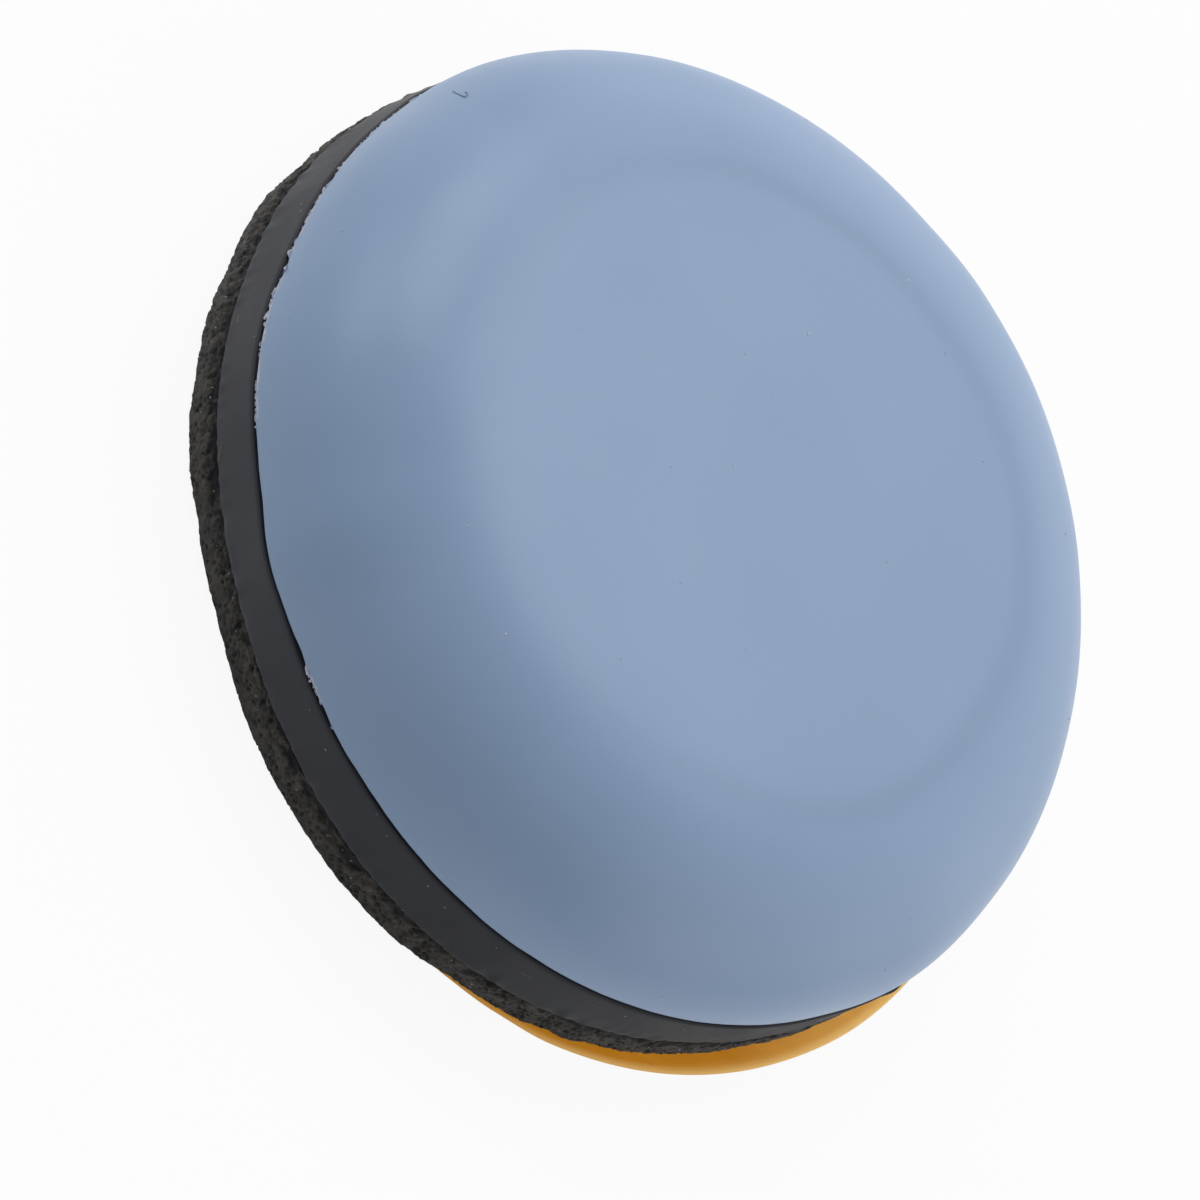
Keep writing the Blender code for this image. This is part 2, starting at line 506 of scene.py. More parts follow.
def painted_shade_ring(tree, place):
    """1 on the painted shade ring round the face, fading to 0 on both sides, with a radius that drifts a
    little.
    """
    radius, side = about_axis(tree, place, PAINTED_RING_SIDE)
    weight = between(tree, side, PAINTED_RING_FAINT, PAINTED_RING_DEEP, -1.0, 0.2)
    drift = between(tree, noise_of(tree, place, RING_DRIFT_SIZE, 1.0), -RING_DRIFT, RING_DRIFT, 0.3, 0.7)
    past = math_node(tree, "SUBTRACT", math_node(tree, "ADD", radius, drift), PAINTED_RING_RADIUS)
    off_ring = math_node(tree, "ABSOLUTE", past)
    inputs = {"Value": off_ring, "From Max": PAINTED_RING_HALF, "To Min": 1.0, "To Max": 0.0}
    ring = add_node(tree, "ShaderNodeMapRange", inputs, interpolation_type="SMOOTHSTEP")["Result"]
    return math_node(tree, "MULTIPLY", ring, weight)


def glide_plastic():
    material, tree, shader, place = new_finish("glide_plastic")
    clouds = noise_of(tree, place, 0.006, 3.0)
    colour = tint(tree, between(tree, clouds, 0, 1, 0.3, 0.7), (134, 160, 193), (140, 164, 197))
    # Painted shade: a faint darker ring where the flat face ends, strongest on one side.
    colour = tint(tree, painted_shade_ring(tree, place), colour, (131, 155, 187))
    ragged = noise_of(tree, place, 0.0005, 4.0, 0.65)
    ragged = math_node(tree, "MULTIPLY_ADD", ragged, 0.9, stored(tree, "fray"))
    frayed = between(tree, ragged, 0, 1, 1.14, 1.26)
    colour = tint(tree, frayed, colour, (196, 199, 214))
    shine = between(tree, noise_of(tree, place, 0.003, 3.0), 0.35, 0.42, 0.3, 0.7)
    dull = math_node(tree, "MULTIPLY_ADD", frayed, 0.35, shine)
    set_inputs(tree, shader, {"Base Color": colour, "Roughness": dull, "Specular IOR Level": 0.42})
    bump(tree, shader, noise_of(tree, place, 0.00016, 2.0), 0.000004)
    return material


paint(cap, glide_plastic())

# %% [markdown]
# ## Finish of the rubber
# The moulded band is dark grey with a dull sheen. Handling leaves it cloudy: patches of fine dust make it
# One side is painted lighter, as painted sheen, and the other darker, as painted shade. The lighter side is
# also made smoother, and so it shines more.

# %% Dark rubber
# Painted light: the side that is painted lighter, and how wide the blend to the darker side is.
PAINTED_LIGHT_SIDE = (-0.985, 0.174, 0.0)
PAINTED_LIGHT_BLEND = 0.7
RUBBED = 0.17


def painted_light_share(tree, place):
    """1 on the side painted lighter, as painted sheen, 0 on the side painted darker, as painted shade."""
    _, side = about_axis(tree, place, PAINTED_LIGHT_SIDE)
    return between(tree, side, 0.0, 1.0, -PAINTED_LIGHT_BLEND, PAINTED_LIGHT_BLEND)


def dark_rubber():
    material, tree, shader, place = new_finish("dark_rubber")
    dust = between(tree, noise_of(tree, place, 0.0022, 4.0, 0.6), 0, 1, 0.42, 0.72)
    lit_side_share = painted_light_share(tree, place)
    shaded_side_colour = tint(tree, dust, (26, 27, 31), (34, 35, 39))
    lit_side_colour = tint(tree, dust, (42, 44, 50), (52, 53, 59))
    # Painted light: the band is lighter on one side, as painted sheen, and darker on the other, as painted
    # shade.
    colour = tint(tree, lit_side_share, shaded_side_colour, lit_side_colour)
    dull = math_node(tree, "MULTIPLY_ADD", lit_side_share, -RUBBED, between(tree, dust, 0.67, 0.82))
    set_inputs(tree, shader, {"Base Color": colour, "Roughness": dull})
    set_inputs(tree, shader, {"Specular IOR Level": 0.22, "Sheen Weight": 0.05})
    bump(tree, shader, noise_of(tree, place, 0.00012, 3.0), 0.000006)
    return material


paint(core, dark_rubber())

# %% [markdown]
# ## The foam pad
# The tape's carrier is a closed-cell foam, and the knife that cut it opened the cells along the side. From
# close up the side is all small pits between thin walls, with a lumpy outline. A bump map would leave the
# outline smooth, so the cells are real relief: a dense plain ring is made first, and a Geometry Nodes tree
# pushes each point in by a Voronoi pattern. The depth of the pit is stored too, so that the finish can
# darken it.

# %% Plain foam ring
FOAM_SEGMENTS = 2200
FOAM_ROWS = 30
FOAM_WALL = 0.00003
FOAM_SLOPE = 0.00014
RIM_CLEAR = 0.00003
CUT_LUMP = 0.00007
CUT_LUMP_SIZE = 0.0016
CUT_CRUMB = 0.00005
CUT_CRUMB_SIZE = 0.00045
CUT_SWELL = [(0, 0.04), (60, -0.05), (110, 0.05), (143, 0.09), (154, 0.0), (164, 0.19), (174, 0.03),
             (180, 0.09), (190, -0.02), (198, -0.02), (206, -0.28), (218, -0.34), (227, -0.10), (235, 0.06),
             (250, 0.25), (257, 0.26), (265, 0.08), (272, 0.12), (281, 0.12), (291, 0.04), (304, 0.03),
             (322, 0.30), (336, 0.30), (350, 0.06)]
FILM_TRIM = 0.00050

film_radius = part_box("mount_adhesive")[1].x - FILM_TRIM
rim_inner = film_radius + FOAM_WALL


def sloped(first, last, share):
    """A point of the rim's slope, a share of the way from one height to another."""
    return foam_radius - FOAM_SLOPE * share, first + (last - first) * share


def foam_profile():
    """A disc between the films, with a rim outside them that closes up to the core and the liner."""
    rim_top = core_low.z - RIM_CLEAR
    rim_bottom = liner_high.z + RIM_CLEAR
    side_top = foam_high.z + 0.3 * (rim_top - foam_high.z)
    side_bottom = foam_low.z
    rows = [side_top + (side_bottom - side_top) * row / FOAM_ROWS for row in range(FOAM_ROWS + 1)]
    side = [(foam_radius, height) for height in rows]
    upper = [sloped(side_top, rim_top, share) for share in (1, 0.5)]
    lower = [sloped(side_bottom, rim_bottom, share) for share in (0.35, 0.7, 1)]
    at_film = film_radius + FOAM_WALL / 2
    lid = [(0.0, foam_high.z), (at_film, foam_high.z), (rim_inner, rim_top)]
    base = [(rim_inner, rim_bottom), (at_film, foam_low.z), (0.0, foam_low.z)]
    return lid + upper + side + lower + base


def uneven_foam(place):
    """Swell and dent the cut side, and leave what lies under the films as it is."""
    radius = math.hypot(place.x, place.y)
    outer = ease((radius - rim_inner) / FOAM_WALL)
    if not outer:
        return place
    lumps = CUT_LUMP * wander(place, CUT_LUMP_SIZE, 8) + CUT_CRUMB * wander(place, CUT_CRUMB_SIZE, 9)
    swell = outer * (round_the_edge(CUT_SWELL, place) + lumps)
    return move_out(place, max(swell, 0.9 * (rim_inner - radius)))


foam = turned_piece("foam_pad_cells", foam_profile(), FOAM_SEGMENTS, uneven_foam)
print(foam.name, "starts with", len(foam.data.polygons), "faces")

# %% [markdown]
# ## Finish of the foam
# Foam is as dull as a surface gets. The walls between the cells catch a little light and the pits swallow
# it, so the stored pit depth runs from a dark grey to nearly black, as painted shade in the pits. The walls
# are painted lighter on the same side as the rubber, as painted sheen, and darker on the other side, as
# painted shade.

# %% Black foam
def black_foam():
    material, tree, shader, place = new_finish("black_foam")
    mottled = between(tree, noise_of(tree, place, 0.0006, 3.0, 0.6), 0, 1, 0.35, 0.65)
    shaded_side_colour = tint(tree, mottled, (47, 45, 42), (67, 64, 60))
    lit_side_colour = tint(tree, mottled, (58, 57, 55), (83, 81, 79))
    # Painted light: the walls are lighter on one side, as painted sheen, and darker on the other, as painted
    # shade.
    wall = tint(tree, painted_light_share(tree, place), shaded_side_colour, lit_side_colour)
    # Painted shade: the pits are darkened by their stored depth.
    colour = tint(tree, stored(tree, "pit"), wall, (27, 27, 30))
    set_inputs(tree, shader, {"Base Color": colour, "Roughness": 0.9})
    set_inputs(tree, shader, {"Specular IOR Level": 0.2, "Sheen Weight": 0.10})
    bump(tree, shader, noise_of(tree, place, 0.00007, 3.0), 0.00002)
    return material


foam_finish = black_foam()
print(foam_finish.name, "is ready for the cells")

# %% Cells in the foam
FOAM_CELL = 0.00027
FOAM_PIT = 0.00015
FOAM_GRAIN = 0.00011
FOAM_GRAIN_DEPTH = 0.00004
TORN_HEIGHT = 0.00080
TORN_SIZE = 0.00045
TORN_SHARE = 0.32


def foam_cells_tree():
    sizes = ("Cell Size", "Pit Depth", "Grain Size", "Grain Depth", "Torn From", "Torn To", "Torn Size",
             "Inner Radius")
    inputs = [(label, "Float") for label in sizes] + [("Material", "Material")]
    tree, given = new_geometry_tree("foam_cells", inputs)
    place = add_node(tree, "GeometryNodeInputPosition")[0]
    flat = vector_node(tree, "MULTIPLY", {0: place, 1: (1.0, 1.0, 0.0)})
    outward = vector_node(tree, "NORMALIZE", {0: flat})
    radius = vector_node(tree, "LENGTH", {0: flat}, "Value")
    room = math_node(tree, "MAXIMUM", math_node(tree, "SUBTRACT", radius, given["Inner Radius"]), 0.0)

    pattern = {"Vector": place, "Scale": math_node(tree, "DIVIDE", 1.0, given["Cell Size"])}
    walls = add_node(tree, "ShaderNodeTexVoronoi", pattern, feature="DISTANCE_TO_EDGE")
    cells = add_node(tree, "ShaderNodeTexVoronoi", pattern)
    opened = add_node(tree, "FunctionNodeSeparateColor", {0: cells["Color"]})
    from_wall = {"Value": walls["Distance"], "From Min": 0.04, "From Max": 0.34}
    hollow = add_node(tree, "ShaderNodeMapRange", from_wall, interpolation_type="SMOOTHSTEP")
    pit = math_node(tree, "MULTIPLY", hollow["Result"], opened[0])

    height = add_node(tree, "ShaderNodeSeparateXYZ", {0: place})["Z"]
    near_top = between(tree, height, 0.0, 1.0, given["Torn From"], given["Torn To"])
    pattern["Scale"] = math_node(tree, "DIVIDE", 1.0, given["Torn Size"])
    lumps = add_node(tree, "ShaderNodeTexNoise", pattern)
    torn = math_node(tree, "MULTIPLY_ADD", near_top, TORN_SHARE, lumps["Fac"])
    pit = math_node(tree, "MAXIMUM", pit, between(tree, torn, 0.0, 1.0, 0.66, 0.80))

    pattern["Scale"] = math_node(tree, "DIVIDE", 1.0, given["Grain Size"])
    grains = add_node(tree, "ShaderNodeTexNoise", pattern)
    grain = math_node(tree, "MULTIPLY", grains["Fac"], given["Grain Depth"])
    push = math_node(tree, "MULTIPLY_ADD", pit, given["Pit Depth"], grain)
    inward = math_node(tree, "MULTIPLY", math_node(tree, "MINIMUM", push, room), -1.0)
    offset = vector_node(tree, "SCALE", {0: outward, "Scale": inward})
    moved = add_node(tree, "GeometryNodeSetPosition", {"Geometry": given[0], "Offset": offset})
    keeps = {"Geometry": moved[0], "Name": "pit", "Value": pit}
    kept = add_node(tree, "GeometryNodeStoreNamedAttribute", keeps, domain="POINT")
    end_tree(tree, kept[0], given["Material"])
    return tree


grow(foam, foam_cells_tree(), {"Cell Size": FOAM_CELL, "Pit Depth": FOAM_PIT, "Grain Size": FOAM_GRAIN,
                               "Grain Depth": FOAM_GRAIN_DEPTH, "Torn From": foam_high.z - TORN_HEIGHT,
                               "Torn To": foam_high.z, "Torn Size": TORN_SIZE, "Inner Radius": rim_inner,
                               "Material": foam_finish})
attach(foam, "pad")
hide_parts("foam_pad")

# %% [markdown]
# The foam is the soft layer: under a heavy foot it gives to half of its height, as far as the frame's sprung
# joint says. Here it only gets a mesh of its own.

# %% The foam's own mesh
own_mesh(foam)

# %% [markdown]
# ## The release liner
# The liner is a thin waxed paper, laid a little off centre so that a crescent of it stands out as a lip. It
# lies flat under the pad, and the free lip lifts by a hair, as paper that has been cut and handled does. Two
# values are kept for the finish: lip grows with the distance past the foam, and edge grows towards the cut.

# %% Shape of the liner
LINER_SEGMENTS = 384
LIP_RINGS = 24
LIP_LIFT = 0.00012
LIP_WAVE = 0.00005
CUT_SLANT = 0.00010
PALE_EDGE = 0.0006
LIP_WAVE_SIZE = 0.006
PAPER_CUT = [(0, 0.0), (200, 0.0), (245, -0.24), (266, -0.26), (273, -0.20), (281, -0.08), (312, -0.07),
             (326, 0.0)]
liner_thickness = liner_high.z - liner_low.z


def liner_profile():
    """A thin disc with wide rings under the pad and close ones out at the lip."""
    flat = [0.0, 0.3, 0.6, 0.8]
    rings = flat + [0.86 + 0.14 * step / LIP_RINGS for step in range(LIP_RINGS + 1)]
    upper = [((liner_radius - CUT_SLANT) * share, liner_thickness) for share in rings]
    lower = [(liner_radius * share, 0.0) for share in reversed(rings)]
    return upper + lower


def free_lip(place):
    """0 under the pad, 1 where the lip stands out furthest."""
    past_foam = math.hypot(place.x, place.y) - foam_radius
    return clamp(past_foam / (liner_high.x - foam_radius))


def near_cut(place):
    """1 at the paper's cut edge, fading to 0 inwards."""
    from_edge = liner_radius - math.hypot(place.x - liner_centre, place.y)
    return clamp(1 - from_edge / PALE_EDGE)


def uneven_liner(place):
    """Move the disc to its own centre, cut it as it was cut, and let the free lip lift and wave."""
    laid = place + Vector((liner_centre, 0.0, 0.0))
    laid = move_out(laid, ease(math.hypot(place.x, place.y) / liner_radius) * round_the_edge(PAPER_CUT, laid))
    free = free_lip(laid)
    lift = free * (LIP_LIFT * free + LIP_WAVE * (1 + wander(laid, LIP_WAVE_SIZE, 6)))
    return laid + Vector((0.0, 0.0, lift))


liner = turned_piece("release_liner_sheet", liner_profile(), LINER_SEGMENTS, uneven_liner)
liner.data.set_sharp_from_angle(angle=SHARP_ANGLE)
for vertex in liner.data.vertices:
    vertex.co.x += liner_centre if math.hypot(vertex.co.x, vertex.co.y) < ON_AXIS else 0.0
keep_value(liner, "lip", free_lip)
keep_value(liner, "edge", near_cut)
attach(liner, "liner")
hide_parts("release_liner")
print(liner.name, len(liner.data.polygons), "faces")

# %% [markdown]
# ## Finish of the liner
# Waxed paper is amber and slightly glossy, with faint streaks along the way it ran through the mill. It lets
# light through, so over a white table it glows. The shader's transmission does that: part of what is seen is
# the table, coloured by the paper. The colour is painted too: deep orange next to the foam, as painted shade
# from the pad, and paler further out and towards +X, as painted light where the lip is out of the pad's
# shadow. It is paler again near the cut edge.

# %% Amber paper
# Painted light: along X, the paper is painted paler between these two places.
PAINTED_LIGHT_FROM = 0.011
PAINTED_LIGHT_TO = 0.016


def amber_paper():
    material, tree, shader, place = new_finish("amber_paper")
    stretched = add_node(tree, "ShaderNodeMapping", {"Vector": place, "Scale": (0.16, 1.0, 1.0)})
    streaks = noise_of(tree, stretched[0], 0.0007, 4.0, 0.6)
    paper = tint(tree, between(tree, streaks, 0, 1, 0.35, 0.68), (191, 125, 25), (205, 141, 41))
    # Painted light: deep orange next to the foam, as painted shade from the pad, and paler further out and
    # towards +X, as painted light.
    past_foam = between(tree, stored(tree, "lip"), 0, 0.8, 0.2, 0.75)
    along = add_node(tree, "ShaderNodeSeparateXYZ", {0: place})["X"]
    free = math_node(tree, "MAXIMUM", past_foam, between(tree, along, 0, 0.5, PAINTED_LIGHT_FROM, PAINTED_LIGHT_TO))
    paper = tint(tree, free, paper, (232, 185, 100))
    pale = between(tree, stored(tree, "edge"), 0, 0.75, 0.35, 1.0)
    paper = tint(tree, pale, paper, (243, 208, 137))
    set_inputs(tree, shader, {"Base Color": paper, "Roughness": between(tree, streaks, 0.34, 0.5)})
    set_inputs(tree, shader, {"Transmission Weight": 0.8, "IOR": 1.15})
    bump(tree, shader, streaks, 0.00001)
    return material


paint(liner, amber_paper())

# %% [markdown]
# ## The adhesive films
# Three films hold the stack together. The bond under the cap keeps its solid and only gets a finish. The two
# films of the tape are remade half a millimetre smaller, because the cut foam dips in further than a round
# solid does, and closes over their edges. The finish is an adhesive, smooth and a little uneven in colour.

# %% Adhesive films
FILM_SEGMENTS = 192


def adhesive(name, thin, thick, roughness):
    """A smooth film whose colour and shine vary where it flowed thin or thick."""
    material, tree, shader, place = new_finish(name)
    flow = noise_of(tree, place, 0.004, 4.0, 0.55)
    colour = tint(tree, between(tree, flow, 0, 1, 0.3, 0.7), thin, thick)
    dull = between(tree, flow, roughness, roughness + 0.15)
    set_inputs(tree, shader, {"Base Color": colour, "Roughness": dull})
    bump(tree, shader, noise_of(tree, place, 0.0009, 2.0), 0.00001)
    return material


def film_disc(name, node, body):
    """A thin disc at a film's height, trimmed to stay inside the foam's rim."""
    low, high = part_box(node)
    rings = [film_radius * share for share in (0.0, 0.5, 0.9, 1.0)]
    profile = [(radius, high.z) for radius in rings] + [(radius, low.z) for radius in reversed(rings)]
    disc = turned_piece(name, profile, FILM_SEGMENTS)
    disc.data.set_sharp_from_angle(angle=SHARP_ANGLE)
    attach(disc, body)
    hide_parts(node)
    return disc


mount_film = film_disc("mount_film_disc", "mount_adhesive", "pad")
paint(mount_film, adhesive("mounting_film", (212, 204, 182), (196, 184, 154), 0.15))
tape_film = film_disc("tape_film_disc", "tape_adhesive", "glide")
paint(tape_film, adhesive("tape_film", (60, 58, 54), (44, 43, 41), 0.3))
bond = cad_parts["cap_bond"]
bond.data.materials.clear()
paint(bond, adhesive("contact_adhesive", (206, 184, 128), (192, 168, 108), 0.3))

# %% [markdown]
# ## Fray along the rim
# Trimming tears little shreds of plastic loose along the cap's rim. They follow a path, which is what
# Geometry Nodes are good at: the rim is a curve, the tree sets points along it, keeps some of those in the
# frayed stretches, and stands a small jagged flake on each. A random value raised to a high power makes
# most of the flakes small and a few of them large.

# %% Fray
FRAY_POINTS = 1400
FRAY_SIZE = 0.00007
FRAY_KEEP = 0.6
FRAY_LIFT = 0.00004
FRAY_PATCH = 0.0013
JAGGED = 0.45
TILT = 0.4
RARE_POWER = 6.0


def fray_share(place):
    """How likely a flake is at a place on the rim."""
    return frayed_stretch(place) * ease(0.5 + 1.3 * wander(place, FRAY_PATCH, 7))


def rim_path():
    """The rim as a closed loop of edges, with each point's share of fray."""
    points = []
    for index in range(CAP_SEGMENTS):
        angle = math.tau * index / CAP_SEGMENTS
        place = Vector((cap_radius * math.cos(angle), cap_radius * math.sin(angle), cap_edge + FRAY_LIFT))
        points.append(uneven_cap(place))
    loop = [(index, (index + 1) % CAP_SEGMENTS) for index in range(CAP_SEGMENTS)]
    piece = new_piece("rim_fray", points, loop, [])
    keep_value(piece, "share", fray_share)
    return piece


def fray_tree():
    inputs = [("Count", "Int"), ("Chip Size", "Float"), ("Keep", "Float"), ("Seed", "Int")]
    tree, given = new_geometry_tree("rim_fray_chips", inputs + [("Material", "Material")])
    share = add_node(tree, "GeometryNodeInputNamedAttribute", {"Name": "share"}, data_type="FLOAT")
    path = add_node(tree, "GeometryNodeMeshToCurve", {"Mesh": given[0]})
    along_path = {"Curve": path[0], "Count": given["Count"]}
    spaced = add_node(tree, "GeometryNodeCurveToPoints", along_path, mode="COUNT")
    chance = add_node(tree, "FunctionNodeRandomValue", {"Seed": given["Seed"]}, data_type="FLOAT")
    wanted = math_node(tree, "MULTIPLY", share[0], given["Keep"])
    left_out = math_node(tree, "GREATER_THAN", chance[1], wanted)
    not_wanted = {"Geometry": spaced["Points"], "Selection": left_out}
    thinned = add_node(tree, "GeometryNodeDeleteGeometry", not_wanted, domain="POINT")

    chip = add_node(tree, "GeometryNodeMeshIcoSphere", {"Radius": given["Chip Size"], "Subdivisions": 1})
    corners = random_vector(tree, [-JAGGED] * 3, [JAGGED] * 3, given["Seed"])
    jagged = vector_node(tree, "SCALE", {0: corners, "Scale": given["Chip Size"]})
    chip = add_node(tree, "GeometryNodeSetPosition", {"Geometry": chip[0], "Offset": jagged})
    chance = add_node(tree, "FunctionNodeRandomValue", {"Seed": 9})
    rare = math_node(tree, "POWER", chance[1], RARE_POWER)
    size = math_node(tree, "MULTIPLY_ADD", rare, 1.4, 0.6)
    shape = random_vector(tree, (0.6, 0.3, 0.4), (2.2, 0.6, 1.0), given["Seed"])
    shape = vector_node(tree, "SCALE", {0: shape, "Scale": size})
    along = add_node(tree, "FunctionNodeAlignRotationToVector", {"Vector": spaced["Tangent"]}, axis="X")
    turns = {0: along[0], 1: random_vector(tree, [-TILT] * 3, [TILT] * 3, 12)}
    tilted = add_node(tree, "FunctionNodeRotateRotation", turns, rotation_space="LOCAL")
    copies = {"Points": thinned[0], "Instance": chip[0], "Rotation": tilted[0]}
    chips = add_node(tree, "GeometryNodeInstanceOnPoints", copies | {"Scale": shape})
    end_tree(tree, chips[0], given["Material"])
    return tree


def frayed_plastic():
    material, tree, shader, place = new_finish("frayed_plastic")
    pale = between(tree, noise_of(tree, place, 0.0004, 2.0), 0, 1, 0.3, 0.7)
    colour = tint(tree, pale, (160, 168, 190), (204, 207, 219))
    set_inputs(tree, shader, {"Base Color": colour, "Roughness": 0.7})
    return material


fray_chips = rim_path()
grow(fray_chips, fray_tree(), {"Count": FRAY_POINTS, "Chip Size": FRAY_SIZE, "Keep": FRAY_KEEP, "Seed": 4,
                               "Material": frayed_plastic()})
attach(fray_chips, "glide")

# %% [markdown]
# ## Crumbs and fibres
# Sticky tape and soft rubber pick things up: crumbs of trimmed plastic sit on the band and in the foam, and a
# few short fibres cling to the band. Scattering by hand would take long, so one tree sets random points on a
# surface, between two heights and only where it faces outwards, and stands a copy of a small shape on each.

# %% Scatter
CRUMB_SIZE = 0.00005
FIBRE_LENGTH = 0.00055
FIBRE_RADIUS = 0.000012
FACING_DOWN = -0.3


def crumb(tree):
    """A tiny faceted crumb."""
    return add_node(tree, "GeometryNodeMeshIcoSphere", {"Radius": CRUMB_SIZE, "Subdivisions": 1})[0]


def fibre(tree):
    """A short bent thread of three sides."""
    half = FIBRE_LENGTH / 2
    ends = {"Start": (-half, 0.0, 0.0), "Middle": (0.0, 0.4 * half, 0.0), "End": (half, 0.0, 0.0)}
    thread = add_node(tree, "GeometryNodeCurveQuadraticBezier", {"Resolution": 6} | ends)
    section = add_node(tree, "GeometryNodeCurvePrimitiveCircle", {"Resolution": 3, "Radius": FIBRE_RADIUS})
    tube = {"Curve": thread[0], "Profile Curve": section[0], "Fill Caps": True}
    return add_node(tree, "GeometryNodeCurveToMesh", tube)[0]


def scatter_tree(name, shape):
    """A tree that stands copies of a shape on a surface, between two heights."""
    inputs = [("Per Square Metre", "Float"), ("Lowest", "Float"), ("Highest", "Float"), ("Seed", "Int")]
    tree, given = new_geometry_tree(name, inputs + [("Material", "Material")])
    place = add_node(tree, "GeometryNodeInputPosition")[0]
    facing = add_node(tree, "GeometryNodeInputNormal")[0]
    height = add_node(tree, "ShaderNodeSeparateXYZ", {0: place})["Z"]
    rise = add_node(tree, "ShaderNodeSeparateXYZ", {0: facing})["Z"]
    above = math_node(tree, "GREATER_THAN", height, given["Lowest"])
    below = math_node(tree, "LESS_THAN", height, given["Highest"])
    wanted = math_node(tree, "MULTIPLY", above, below)
    wanted = math_node(tree, "MULTIPLY", wanted, math_node(tree, "GREATER_THAN", rise, FACING_DOWN))
    where = {"Mesh": given[0], "Selection": wanted, "Seed": given["Seed"]}
    where["Density"] = given["Per Square Metre"]
    spots = add_node(tree, "GeometryNodeDistributePointsOnFaces", where)
    spin = random_vector(tree, (0.0, 0.0, 0.0), (0.0, 0.0, math.tau), given["Seed"])
    turns = {0: spots["Rotation"], 1: spin}
    turned = add_node(tree, "FunctionNodeRotateRotation", turns, rotation_space="LOCAL")
    size = random_vector(tree, (0.5, 0.4, 0.4), (1.5, 1.1, 0.8), given["Seed"])
    copies = {"Points": spots["Points"], "Instance": shape(tree), "Rotation": turned[0]}
    placed = add_node(tree, "GeometryNodeInstanceOnPoints", copies | {"Scale": size})
    end_tree(tree, placed[0], given["Material"])
    return tree


def scattered(name, base, tree, density, heights, seed, material):
    """Scatter over a copy of a piece, and keep only what was scattered."""
    piece = new_object(name, base.data.copy())
    zone = {"Lowest": heights[0], "Highest": heights[1]}
    grow(piece, tree, zone | {"Per Square Metre": density, "Seed": seed, "Material": material})
    return piece


# %% Crumbs and fibres
CRUMB_DENSITY = 9e5
FIBRE_DENSITY = 5e4
SPECK_DENSITY = 3e4
CRUMB_ZONE = 0.0005
FIBRE_MARGIN = 0.0002
SPECK_MARGIN = 0.001
ABOVE_ALL = 1.0


def pale_dust(name, dark, light):
    """A dull finish that drifts between two colours."""
    material, tree, shader, place = new_finish(name)
    mixed = between(tree, noise_of(tree, place, 0.0009, 2.0), 0, 1, 0.35, 0.65)
    set_inputs(tree, shader, {"Base Color": tint(tree, mixed, dark, light), "Roughness": 0.8})
    return material


dust = pale_dust("trimmed_crumbs", (84, 86, 92), (150, 152, 160))
lint = pale_dust("pale_fibre", (120, 118, 116), (160, 158, 154))
specks = pale_dust("cap_specks", (160, 172, 194), (188, 196, 208))
crumbs = scatter_tree("scattered_crumbs", crumb)
fibres = scatter_tree("scattered_fibres", fibre)

crumb_zone = (shoulder - CRUMB_ZONE, shoulder + 0.00001)
fibre_zone = (core_low.z + FIBRE_MARGIN, shoulder - FIBRE_MARGIN)
speck_zone = (cap_edge + SPECK_MARGIN, ABOVE_ALL)
band_crumbs = scattered("band_crumbs", core, crumbs, CRUMB_DENSITY, crumb_zone, 3, dust)
band_fibres = scattered("band_fibres", core, fibres, FIBRE_DENSITY, fibre_zone, 5, lint)
cap_specks = scattered("cap_specks", cap, crumbs, SPECK_DENSITY, speck_zone, 2, specks)
foam_crumbs = scattered("foam_crumbs", foam, crumbs, CRUMB_DENSITY, (foam_low.z, foam_high.z), 6, dust)
on_glide = [(band_crumbs, "dark_rubber"), (band_fibres, "dark_rubber"), (cap_specks, "glide_plastic")]
for piece, slot in on_glide:
    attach(piece, "glide")
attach(foam_crumbs, "pad")
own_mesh(foam_crumbs)

# %% [markdown]
# A single dark thread also lies on the cap, high on its flank. One thread needs no scattering: a curve is
# drawn through a few points on the dome, given a thickness, and turned into a mesh.

# %% Thread on the cap
THREAD_RADIUS = 0.000024
THREAD_PLACES = [(-15.55, 10.22), (-15.51, 10.00), (-15.45, 9.86), (-15.41, 9.76), (-15.37, 9.78),
                 (-15.33, 9.87), (-15.30, 9.98), (-15.29, 10.08), (-15.32, 10.11)]


def thread_on_cap():
    """A thin tube through places given in millimetres, laid on the dome."""
    data = bpy.data.curves.new("cap_thread", "CURVE")
    data.dimensions = "3D"
    data.bevel_depth = THREAD_RADIUS
    data.bevel_resolution = 1
    data.use_fill_caps = True
    line = data.splines.new("POLY")
    line.points.add(len(THREAD_PLACES) - 1)
    for point, (x, y) in zip(line.points, THREAD_PLACES):
        place = Vector((x / 1000, y / 1000, dome_height(math.hypot(x, y) / 1000)))
        point.co = (uneven_cap(place) + Vector((0.0, 0.0, THREAD_RADIUS))).to_4d()
    drawn = new_object("cap_thread_curve", data)
    mesh = bpy.data.meshes.new_from_object(drawn.evaluated_get(bpy.context.evaluated_depsgraph_get()))
    bpy.data.objects.remove(drawn)
    return new_object("cap_thread", mesh)


cap_thread = thread_on_cap()
paint(cap_thread, pale_dust("dark_thread", (104, 118, 142), (122, 136, 160)))
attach(cap_thread, "glide")
print(cap_thread.name, len(cap_thread.data.polygons), "faces")

# %% [markdown]
# ## Stage and camera
# The slider lies on a plain white floor. The photograph was taken from halfway up, with the camera turned far
# over on its side, so the dome seems to lean to the right. The camera is set by those angles, its distance
# and its lens, and it is moved sideways so that the cap's centre falls where it does in the photograph.

